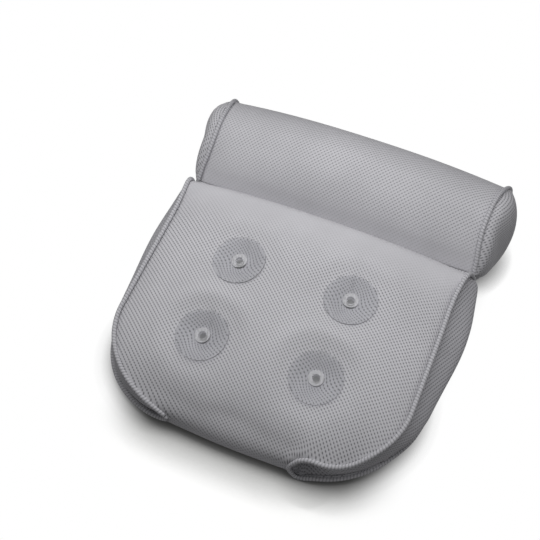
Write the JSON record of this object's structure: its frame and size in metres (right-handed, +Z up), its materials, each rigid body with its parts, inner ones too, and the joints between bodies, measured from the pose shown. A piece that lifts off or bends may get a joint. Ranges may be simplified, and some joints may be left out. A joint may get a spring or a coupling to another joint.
{
  "type": "bath pillow",
  "caption": "Padded bath pillow of grey air mesh: a wedge-shaped back panel and a round neck roll joined by a sewn fold, held to a tub wall by clear suction cups.",
  "frame": {"origin": "under the middle of the whole pillow, on the surface that it lies on with its cups up", "axes": "+X along the fold, +Y from the panel towards the neck roll, +Z up, out of the cup side"},
  "size_m": [0.332, 0.352, 0.102],
  "materials": {
    "air_mesh": "grey polyester air mesh with a staggered pattern of small holes",
    "piping": "grey ribbed piping",
    "filling": "white polyester fibre",
    "clear_vinyl": "clear soft vinyl",
    "washer": "white moulded plastic"
  },
  "bodies": {
    "panel": {"panel_sleeve": "air_mesh", "panel_core": "filling", "panel_gusset_left": "air_mesh", "panel_gusset_right": "air_mesh", "panel_piping_left": "piping", "panel_piping_right": "piping", "fold_seam": "piping", "backing_washer_1": "washer", "backing_washer_2": "washer", "backing_washer_3": "washer", "backing_washer_4": "washer"},
    "roll": {"roll_sleeve": "air_mesh", "roll_core": "filling", "roll_end_cap_left": "air_mesh", "roll_end_cap_right": "air_mesh", "roll_piping_left": "piping", "roll_piping_right": "piping"},
    "cup_1": {"suction_cup_1": "clear_vinyl"},
    "cup_2": {"suction_cup_2": "clear_vinyl"},
    "cup_3": {"suction_cup_3": "clear_vinyl"},
    "cup_4": {"suction_cup_4": "clear_vinyl"}
  },
  "joints": [
    {"name": "fold_hinge", "type": "hinge", "parent": "panel", "child": "roll", "pos_m": [0, 0.066, 0.05], "axis": [1, 0, 0], "range_deg": [-70, 50]},
    {"name": "cup_1_swivel", "type": "hinge", "parent": "panel", "child": "cup_1", "pos_m": [-0.056, -0.0245, 0.07471], "axis": [-0.0631, -0.1669, 0.984], "continuous": true},
    {"name": "cup_2_swivel", "type": "hinge", "parent": "panel", "child": "cup_2", "pos_m": [0.056, -0.0245, 0.07471], "axis": [0.0631, -0.1669, 0.984], "continuous": true},
    {"name": "cup_3_swivel", "type": "hinge", "parent": "panel", "child": "cup_3", "pos_m": [-0.056, -0.1045, 0.05841], "axis": [-0.0497, -0.279, 0.959], "continuous": true},
    {"name": "cup_4_swivel", "type": "hinge", "parent": "panel", "child": "cup_4", "pos_m": [0.056, -0.1045, 0.05841], "axis": [0.0497, -0.279, 0.959], "continuous": true}
  ]
}
